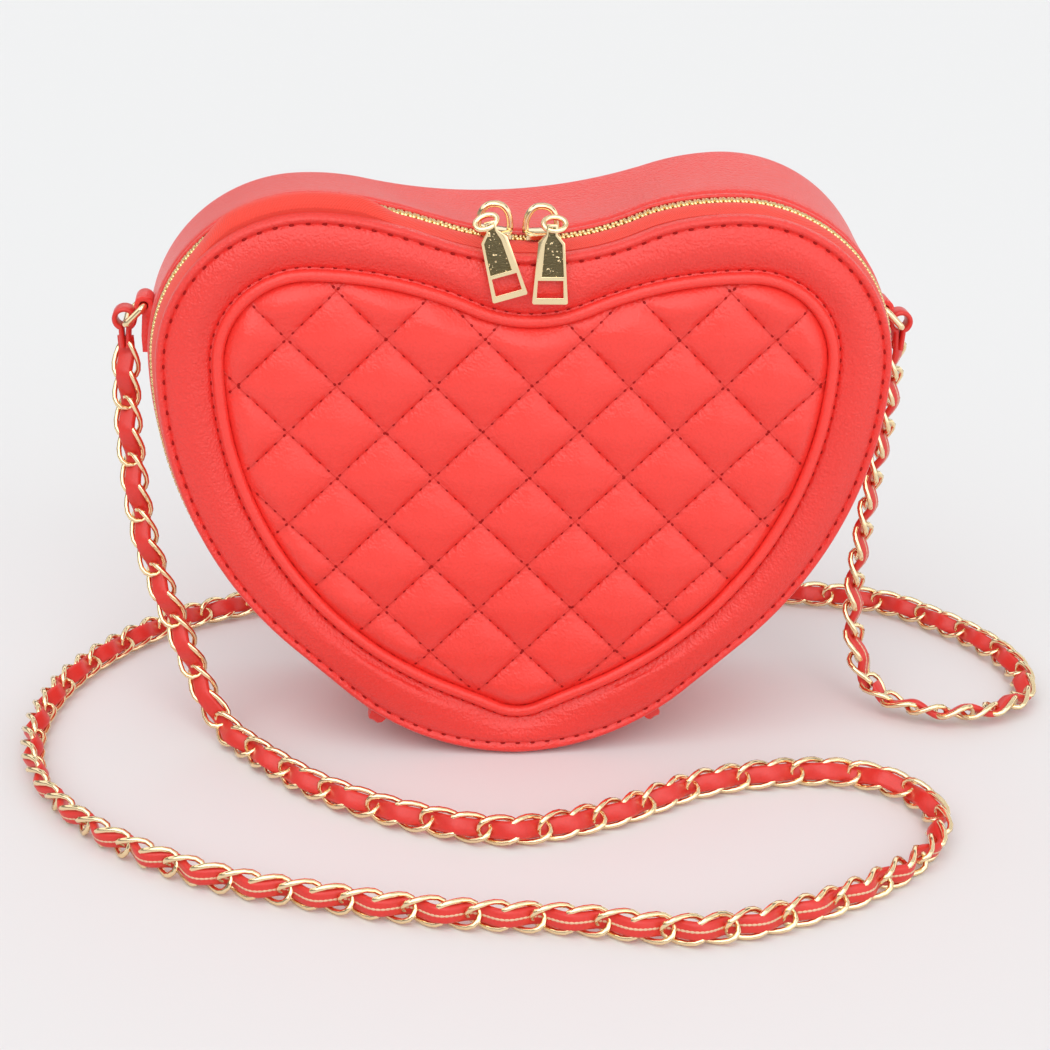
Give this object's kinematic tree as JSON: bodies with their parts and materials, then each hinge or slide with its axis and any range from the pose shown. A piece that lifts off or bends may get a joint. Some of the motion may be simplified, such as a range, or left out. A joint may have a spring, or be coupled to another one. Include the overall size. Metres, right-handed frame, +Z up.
{
  "type": "heart shaped purse",
  "caption": "Heart shaped clamshell purse in red leather with a diamond quilted front, a double zip round the edge and a gold chain strap woven with a leather strip.",
  "frame": {"origin": "middle of the foot, on the floor, halfway through the bag's depth", "axes": "+X across the bag to the right as the quilted front is seen, +Y from the quilted front to the back, +Z up"},
  "size_m": [0.319, 0.2295, 0.1683],
  "materials": {
    "red_leather": "satin",
    "red_lining": "matte",
    "zip_tape": "matte",
    "stiff_board": "matte",
    "gold_metal": "polished"
  },
  "bodies": {
    "bag_body": {"rear_zip_tape": "zip_tape", "rear_zip_teeth": "gold_metal", "rear_gusset": "red_leather", "bottom_gusset": "red_leather", "gusset_board": "stiff_board", "gusset_lining": "red_lining", "bottom_board": "stiff_board", "bottom_lining": "red_lining", "back_edge_roll": "red_leather", "back_panel": "red_leather", "back_board": "stiff_board", "back_lining": "red_lining", "left_zip_end_tab": "red_leather", "right_zip_end_tab": "red_leather", "left_ring_tab": "red_leather", "right_ring_tab": "red_leather", "left_strap_end": "red_leather", "right_strap_end": "red_leather", "strap_cord": "red_leather"},
    "front_cover": {"front_edge_roll": "red_leather", "front_band": "red_leather", "inner_piping": "red_leather", "quilted_pad": "red_leather", "front_board": "stiff_board", "front_lining": "red_lining", "front_zip_tape": "zip_tape", "front_zip_teeth": "gold_metal"},
    "left_slider": {"left_slider": "gold_metal"},
    "right_slider": {"right_slider": "gold_metal"},
    "left_pull": {"left_pull": "gold_metal"},
    "right_pull": {"right_pull": "gold_metal"},
    "left_ring": {"left_ring": "gold_metal"},
    "right_ring": {"right_ring": "gold_metal"}
  },
  "joints": [
    {"name": "cover_hinge", "type": "hinge", "parent": "bag_body", "child": "front_cover", "pos_m": [0, -0.0312, 0], "axis": [1, 0, 0], "range_deg": [0, 65]},
    {"name": "left_slider_travel", "type": "hinge", "parent": "front_cover", "child": "left_slider", "pos_m": [0, -0.0192, 0.22889], "axis": [0, 1, 0], "range_deg": [0, 9]},
    {"name": "right_slider_travel", "type": "hinge", "parent": "front_cover", "child": "right_slider", "pos_m": [0, -0.0192, 0.22889], "axis": [0, 1, 0], "range_deg": [-15, 0]},
    {"name": "left_pull_flip", "type": "hinge", "parent": "left_slider", "child": "left_pull", "pos_m": [-0.01155, -0.0192, 0.1651], "axis": [1, 0, 0], "range_deg": [-200, 0]},
    {"name": "right_pull_flip", "type": "hinge", "parent": "right_slider", "child": "right_pull", "pos_m": [0.00455, -0.0192, 0.1645], "axis": [1, 0, 0], "range_deg": [-200, 0]},
    {"name": "left_ring_swing", "type": "hinge", "parent": "bag_body", "child": "left_ring", "pos_m": [-0.10906, 0.0048, 0.13024], "axis": [0, 1, 0], "range_deg": [0, 12]},
    {"name": "right_ring_swing", "type": "hinge", "parent": "bag_body", "child": "right_ring", "pos_m": [0.10906, 0.0048, 0.13024], "axis": [0, 1, 0], "range_deg": [-12, 0]}
  ]
}
